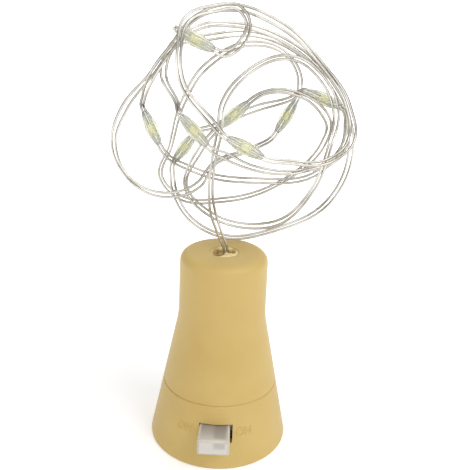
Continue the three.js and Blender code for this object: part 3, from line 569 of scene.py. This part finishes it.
# %% Switch knob
knob_low, knob_high = (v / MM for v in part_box("switch_knob"))
lever_low, lever_high = (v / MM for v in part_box("switch_lever"))
KNOB_FLARE, KNOB_ROUND, SOCKET_GAP, POST_WIDTH, POST_TALL = 0.15, 0.5, 0.15, 2.8, 1.8
knob_mid = (knob_low + knob_high) / 2
knob_size = knob_high - knob_low
post_x = (lever_low.x + lever_high.x) / 2


def knob_mesh():
    """The cap with its socket, whose rounded edges have the second finish, a darker copy of the plastic as
    painted shade.
    """
    mesh = bmesh.new()
    bmesh.ops.create_cube(mesh, size=1)
    bmesh.ops.scale(mesh, vec=knob_size, verts=mesh.verts)
    back = [v for v in mesh.verts if v.co.y > 0]
    narrow = 1 - 2 * KNOB_FLARE / knob_size.x
    bmesh.ops.scale(mesh, vec=(narrow, 1, 1), verts=back)
    outer = [e for e in mesh.edges if not all(v in back for v in e.verts)]
    edge = bmesh.ops.bevel(mesh, geom=outer, offset=KNOB_ROUND, segments=4, profile=0.5, affect="EDGES",
                           material=-1, clamp_overlap=True)
    for face in edge["faces"]:
        face.material_index = 1
    bmesh.ops.translate(mesh, vec=knob_mid, verts=mesh.verts)
    rear = max(mesh.faces, key=lambda f: f.calc_center_median().y)
    mouth = push_in(mesh, rear, 0)
    half_x, half_z = POST_WIDTH / 2 + SOCKET_GAP, POST_TALL / 2 + SOCKET_GAP
    for corner in mouth.verts:
        corner.co.x = post_x + math.copysign(half_x, corner.co.x - knob_mid.x)
        corner.co.z = SLOT_HEIGHT + math.copysign(half_z, corner.co.z - knob_mid.z)
    push_in(mesh, mouth, knob_high.y - lever_low.y + SOCKET_GAP)
    bmesh.ops.remove_doubles(mesh, verts=mesh.verts, dist=FINE_MERGE)
    bmesh.ops.scale(mesh, vec=(MM, MM, MM), verts=mesh.verts)
    bmesh.ops.recalc_face_normals(mesh, faces=mesh.faces)
    return mesh


def push_in(mesh, face, depth):
    """Extrudes a face of the back towards the front by a depth, and gives the moved face."""
    moved = bmesh.ops.extrude_face_region(mesh, geom=[face])["geom"]
    bmesh.ops.delete(mesh, geom=[face], context="FACES_ONLY")
    corners = [v for v in moved if isinstance(v, bmesh.types.BMVert)]
    bmesh.ops.translate(mesh, vec=(0, -depth, 0), verts=corners)
    return next(f for f in moved if isinstance(f, bmesh.types.BMFace))


print("knob size in millimetres:", [round(v, 2) for v in knob_size])

# %% Finish of the knob
milky = make_finish("milky_plastic", [tone_of(216, 211, 205), tone_of(226, 222, 217)],
                    drift=300, grain=2400, rough=(0.25, 0.4), relief=0.015,
                    Transmission_Weight=0.2, IOR=1.46)
# The rounded edges get a darker copy of the milky plastic: painted shade on them.
milky_shaded_edge = make_finish("milky_shaded_edge", [tone_of(202, 194, 181), tone_of(212, 204, 191)],
                         drift=300, grain=2400, rough=(0.2, 0.35), relief=0.015)


def band(nodes, links, value, edge, span, top=1):
    """Rises smoothly from 0 to a top while a coordinate crosses a span beside an edge, in millimetres."""
    rise = nodes.new("ShaderNodeMapRange")
    rise.interpolation_type = "SMOOTHSTEP"
    rise.inputs["From Min"].default_value = (edge + span[0]) * MM
    rise.inputs["From Max"].default_value = (edge + span[1]) * MM
    rise.inputs["To Max"].default_value = top
    links.new(value, rise.inputs["Value"])
    return rise.outputs["Result"]


def product(nodes, links, factors):
    """The product of several sockets."""
    total = factors[0]
    for factor in factors[1:]:
        times = nodes.new("ShaderNodeMath")
        times.operation = "MULTIPLY"
        links.new(total, times.inputs[0])
        links.new(factor, times.inputs[1])
        total = times.outputs["Value"]
    return total


# Tones of painted light and shade in the cap: its lit face, its shaded inside and the lever's shadow.
FACE_LIGHT_TONE, INNER_SHADE_TONE, LEVER_SHADOW_TONE = tone_of(241, 236, 226), tone_of(175, 165, 155), tone_of(108, 104, 98)
SHADE_DEPTH_SPAN, FACE_SPAN = (-0.5, 5.2), (0.3, 0.1)
SHADE_LEFT, SHADE_RIGHT, SHADE_FOOT, SHADE_FRONT = (-0.3, 0.7), (0.2, -0.5), (-0.6, 0.4), (-1.1, -0.3)
SHADOW_SHARE_ABOVE, SHADOW_SHARE_ON_FACE = 0.36, 0.33


def shade_cap(finish):
    """Paints light and shade into the cap: a paler lit face, a painted shade that dims further in, and the
    painted shadow of the dark lever on its right.
    """
    nodes, links = finish.node_tree.nodes, finish.node_tree.links
    place = nodes.new("ShaderNodeTexCoord")
    parts = nodes.new("ShaderNodeSeparateXYZ")
    links.new(place.outputs["Object"], parts.inputs["Vector"])
    x, y, z = (parts.outputs[axis] for axis in "XYZ")
    # A painted shade that dims further in, and a paler face as painted light.
    tint(finish, band(nodes, links, y, knob_low.y, SHADE_DEPTH_SPAN), INNER_SHADE_TONE)
    tint(finish, band(nodes, links, y, knob_low.y, FACE_SPAN), FACE_LIGHT_TONE)
    # The painted shadow of the lever, on the cap's top above it and on its face.
    left, right = post_x - POST_WIDTH / 2, post_x + POST_WIDTH / 2
    around = [band(nodes, links, x, left, SHADE_LEFT), band(nodes, links, x, right, SHADE_RIGHT),
              band(nodes, links, z, SLOT_HEIGHT, SHADE_FOOT)]
    above = band(nodes, links, y, lever_low.y, SHADE_FRONT, SHADOW_SHARE_ABOVE)
    face = band(nodes, links, y, knob_low.y, FACE_SPAN, SHADOW_SHARE_ON_FACE)
    for part in (above, face):
        tint(finish, product(nodes, links, around + [part]), LEVER_SHADOW_TONE)


shade_cap(milky)
knob = keep_piece("knob_cap", knob_mesh(), [milky, milky_shaded_edge], "switch_slider", "knob_plastic",
                  "switch_knob", sharp=40)
print("knob cap:", len(knob.data.polygons), "faces")

# %% [markdown]
# ## Glue in the outlet
# Hot-melt glue holds the wire in the outlet. It is uneven: a pale dollop in front of the wire, with a dark
# pit on each side of it. The plug is spun, a height formula then shapes its top, and each point keeps how
# far inside a pit it lies as an attribute, for the mottled brown painted in the pits as shade.

# %% Glue in the outlet
GLUE_TOP, PLUG_RADIUS, FLANGE_RADIUS, FLANGE_FOOT, FLANGE_TOP = 44.25, 2.05, 3.2, 40.85, 41.85
GLUE_GAP, FLOOR_GAP, GLUE_RINGS, GLUE_SIDES = 0.05, 0.02, 20, 64
GLUE_RADIUS = RECESS_RADIUS - GLUE_GAP
PITS = [(-1.2, 0.1, 1.4, 2.2), (1.5, 0.9, 0.9, 1.3)]
PIT_DEPTH, PIT_EDGE, PIT_REACH = 0.45, 2.5, 1.2
DOLLOP_X, DOLLOP_Y, DOLLOP_REACH, DOLLOP_RISE = 0.9, -1.9, 1.5, 0.25
LUMP_RISE, LUMP_SCALE, LUMP_PLACE = 0.12, 2.4, 3.1
TOP_SLACK = 0.01


def glue_mesh():
    """The plug with its flange below, and the uneven top with its pits and dollop."""
    rings = [(GLUE_RADIUS * (1 - i / GLUE_RINGS), GLUE_TOP) for i in range(GLUE_RINGS + 1)]
    outline = [(0, FLANGE_FOOT), (FLANGE_RADIUS, FLANGE_FOOT), (FLANGE_RADIUS, FLANGE_TOP),
               (PLUG_RADIUS, FLANGE_TOP), (PLUG_RADIUS, RECESS_FLOOR + FLOOR_GAP),
               (GLUE_RADIUS, RECESS_FLOOR + FLOOR_GAP)] + rings
    mesh = spin_outline(outline, GLUE_SIDES)
    inside = mesh.verts.layers.float.new("pit")
    for corner in mesh.verts:
        x, y, z = corner.co / MM
        if z < GLUE_TOP - TOP_SLACK:
            continue
        lump = noise.noise(Vector((LUMP_SCALE * x, LUMP_SCALE * y, LUMP_PLACE)))
        away = min(math.hypot((x - px) / wide, (y - py) / deep) for px, py, wide, deep in PITS)
        corner[inside] = min(1, max(0, PIT_EDGE * (PIT_REACH - away)))
        rise = max(0, 1 - math.hypot(x - DOLLOP_X, y - DOLLOP_Y) / DOLLOP_REACH)
        level = GLUE_TOP + LUMP_RISE * lump - PIT_DEPTH * corner[inside] + DOLLOP_RISE * rise
        corner.co.z = max(level, RECESS_FLOOR + GLUE_GAP) * MM
    bmesh.ops.recalc_face_normals(mesh, faces=mesh.faces)
    return mesh


print("pits:", len(PITS))

# %% Finish of the glue
# The pits' mottled brown is painted shade.
MOTTLE_SCALE, MOTTLE_START, MOTTLE_FULL = 1500, 0.35, 0.6
PIT_SHADE_TONE = tone_of(138, 103, 36)
pale_glue = make_finish("pale_glue", [tone_of(240, 214, 148), tone_of(252, 236, 182)],
                        drift=900, grain=2600, rough=(0.4, 0.6), relief=0.04, Specular_IOR_Level=0.2)
nodes, links = pale_glue.node_tree.nodes, pale_glue.node_tree.links
pit = nodes.new("ShaderNodeAttribute")
pit.attribute_name = "pit"
mottle = grain_of(nodes, links, MOTTLE_SCALE)
pit_shade = ramp_of(nodes, links, mottle, [(MOTTLE_START, HALF), (MOTTLE_FULL, FULL)])
# Painted shade in the pits, mottled.
tint(pale_glue, product(nodes, links, [pit.outputs["Fac"], pit_shade]), PIT_SHADE_TONE)
glue = keep_piece("outlet_glue", glue_mesh(), [pale_glue], "housing", "glue", "wire_seal", sharp=60)
print("glue:", len(glue.data.polygons), "faces")

# %% [markdown]
# ## Pieces inside
# The window, the boards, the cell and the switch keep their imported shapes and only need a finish. The solar
# cells have fine silver fingers, which a wave texture draws across them.

# %% Finishes of the inner pieces
board = make_finish("board_lacquer", [tone_of(40, 96, 52), tone_of(56, 116, 66)], 240, 2400, (0.3, 0.5), 0.02)
nickel = make_finish("nickel_plate", [tone_of(176, 176, 172), tone_of(200, 199, 194)], 500, 3000,
                     (0.25, 0.4), 0.01, stretch=(1, 8, 1), Metallic=1.0)
sleeve = make_finish("shrink_sleeve", [tone_of(58, 132, 74), tone_of(72, 150, 88)], 200, 2000,
                     (0.4, 0.55), 0.02)
black = make_finish("black_moulding", [tone_of(26, 26, 28), tone_of(40, 40, 42)], 400, 2800, (0.4, 0.6), 0.02)
lacquer = make_finish("coil_lacquer", [tone_of(108, 160, 138), tone_of(126, 178, 154)], 500, 2600,
                      (0.25, 0.4), 0.02)
red = make_finish("red_vinyl", [tone_of(158, 32, 28), tone_of(176, 44, 38)], 500, 2600, (0.4, 0.55), 0.02)
dark = make_finish("black_vinyl", [tone_of(24, 24, 24), tone_of(38, 38, 38)], 500, 2600, (0.4, 0.55), 0.02)
resin = make_finish("window_resin", [tone_of(206, 214, 222), tone_of(222, 228, 232)], 120, 1800,
                    (0.02, 0.06), 0.005, Transmission_Weight=1.0, IOR=1.5)
cells = make_finish("solar_cell", [tone_of(14, 20, 50), tone_of(24, 32, 70)], 300, 2200, (0.2, 0.35), 0.01)
FINGER_SCALE, FINGER_START, FINGER_FULL = 260, 0.955, 0.985


def add_fingers(finish):
    """Draws the thin silver lines of a solar cell."""
    nodes, links = finish.node_tree.nodes, finish.node_tree.links
    place = nodes.new("ShaderNodeTexCoord")
    wave = nodes.new("ShaderNodeTexWave")
    wave.bands_direction = "Y"
    wave.inputs["Scale"].default_value = FINGER_SCALE
    links.new(place.outputs["Object"], wave.inputs["Vector"])
    thin = ramp_of(nodes, links, wave.outputs["Fac"], [(FINGER_START, NONE), (FINGER_FULL, FULL)])
    tint(finish, thin, tone_of(120, 126, 138))


add_fingers(cells)
print("solar cell finish:", cells.name)

# %% Which inner piece has which finish
INSIDE = {
    board: ["solar_board", "circuit_board"], resin: ["solar_window"],
    cells: [f"solar_strip_{i}" for i in range(1, 5)],
    nickel: ["battery_cell", "battery_tab_negative", "battery_tab_positive", "switch_frame"],
    sleeve: ["battery_sleeve"], lacquer: ["inductor"],
    black: ["controller_chip", "switch_base", "switch_lever"],
    red: ["solar_lead_red", "battery_lead_red", "lamp_lead_red"],
    dark: ["solar_lead_black", "lamp_lead_black"],
    phosphor: [diode.name for diode in diodes],
}
for finish, names in INSIDE.items():
    for name in names:
        piece = frame["nodes"][name]
        piece.data.materials.clear()
        piece.data.materials.append(finish)
print("dressed nodes:", sum(len(names) for names in INSIDE.values()))

# %% [markdown]
# ## Floor and light
# The photograph is on plain white. The floor is a large pale sheet that keeps the lamp's soft shadow, and a
# glow that only the camera and reflections see lifts it to white: a little near the lamp, where the shadow
# lies, and more further out, where the lamps' light grows weak. An even sky lights the rest of the room. In
# reflections it is dimmer to the left and the right, which gives the bare strands their dark edges.

# %% Sky
SKY, DARK_SIDE = 0.66, 0.3
SIDE_START, SIDE_END = 0.2, 0.75


def choose(nodes, links, switch, low, high):
    """One number or the other, where a switch's socket is 0 or 1."""
    mix = nodes.new("ShaderNodeMix")
    links.new(switch, mix.inputs[0])
    for socket, value in ((mix.inputs[2], low), (mix.inputs[3], high)):
        if isinstance(value, (int, float)):
            socket.default_value = value
        else:
            links.new(value, socket)
    return mix.outputs[0]


world = bpy.data.worlds.new("white_room")
scene.world = world
world.use_nodes = True
nodes, links = world.node_tree.nodes, world.node_tree.links
sky = nodes["Background"]
sky.inputs["Color"].default_value = (1, 1, 1, 1)
path = nodes.new("ShaderNodeLightPath")
place = nodes.new("ShaderNodeTexCoord")
parts = nodes.new("ShaderNodeSeparateXYZ")
links.new(place.outputs["Generated"], parts.inputs["Vector"])
sideways = nodes.new("ShaderNodeMath")
sideways.operation = "ABSOLUTE"
links.new(parts.outputs["X"], sideways.inputs[0])
wall = nodes.new("ShaderNodeMapRange")
wall.interpolation_type = "SMOOTHSTEP"
for socket, value in (("From Min", SIDE_START), ("From Max", SIDE_END),
                      ("To Min", 1), ("To Max", DARK_SIDE)):
    wall.inputs[socket].default_value = value
links.new(sideways.outputs["Value"], wall.inputs["Value"])
level = choose(nodes, links, path.outputs["Is Glossy Ray"], SKY, wall.outputs["Result"])
level = choose(nodes, links, path.outputs["Is Transmission Ray"], level, 1)
level = choose(nodes, links, path.outputs["Is Camera Ray"], level, 1)
links.new(level, sky.inputs["Strength"])
print("sky:", SKY, "and in reflections from the sides:", DARK_SIDE)

# %% Floor
NEAR_LIFT, FAR_LIFT, NEAR, FAR = 0.3, 1, 0.05, 0.2
FLOOR_HALF, FLOOR_DROP = 3, 0.00005


def seen_ray(nodes, links):
    """1 for rays from the camera, from gloss and through glass, 0 for the rest."""
    path = nodes.new("ShaderNodeLightPath")
    total = path.outputs["Is Camera Ray"]
    for name in ("Is Glossy Ray", "Is Transmission Ray"):
        total = choose(nodes, links, path.outputs[name], total, 1)
    return total


paper = make_finish("white_paper", [tone_of(244, 244, 244), tone_of(248, 248, 248)], 8, 300, (0.8, 0.9), 0.0)
nodes, links = paper.node_tree.nodes, paper.node_tree.links
place = nodes.new("ShaderNodeTexCoord")
away = nodes.new("ShaderNodeVectorMath")
away.operation = "LENGTH"
links.new(place.outputs["Object"], away.inputs[0])
lift = nodes.new("ShaderNodeMapRange")
for socket, value in (("From Min", NEAR), ("From Max", FAR), ("To Min", NEAR_LIFT), ("To Max", FAR_LIFT)):
    lift.inputs[socket].default_value = value
links.new(away.outputs["Value"], lift.inputs["Value"])
shine = product(nodes, links, [seen_ray(nodes, links), lift.outputs["Result"]])
links.new(shine, nodes["Principled BSDF"].inputs["Emission Strength"])
nodes["Principled BSDF"].inputs["Emission Color"].default_value = (1, 1, 1, 1)
mesh = bmesh.new()
bmesh.ops.create_grid(mesh, x_segments=1, y_segments=1, size=FLOOR_HALF)
bmesh.ops.translate(mesh, vec=(0, 0, -FLOOR_DROP), verts=mesh.verts)
sheet = bpy.data.meshes.new("floor")
mesh.to_mesh(sheet)
mesh.free()
sheet.materials.append(paper)
floor = bpy.data.objects.new("floor", sheet)
scene.collection.objects.link(floor)
print("floor:", 2 * FLOOR_HALF, "m across")

# %% [markdown]
# ## Lamps
# A broad lamp from the right and in front does most of the work, and a weaker one fills from the left. A
# small third lamp lights only what reflects, and puts glints on the strands and the drops.

# %% Lamps
AIM = Vector((0, 0, 0.06))


def broad_lamp(name, place, power, size):
    """A round soft lamp that looks at the object's middle."""
    lamp = bpy.data.lights.new(name, "AREA")
    lamp.shape = "DISK"
    lamp.size = size
    lamp.energy = power
    holder = bpy.data.objects.new(name, lamp)
    place = Vector(place)
    turned = (AIM - place).to_track_quat("-Z", "Y")
    holder.matrix_world = Matrix.Translation(place) @ turned.to_matrix().to_4x4()
    scene.collection.objects.link(holder)
    return holder


lamps = [broad_lamp("key", (0.65, -0.45, 0.75), 4.4, 0.8), broad_lamp("fill", (-0.6, -0.5, 0.6), 1, 0.6),
         broad_lamp("glint", (0.05, -0.5, 0.55), 0.5, 0.25)]
lamps[2].visible_diffuse = False
print("lamps:", [lamp.name for lamp in lamps])
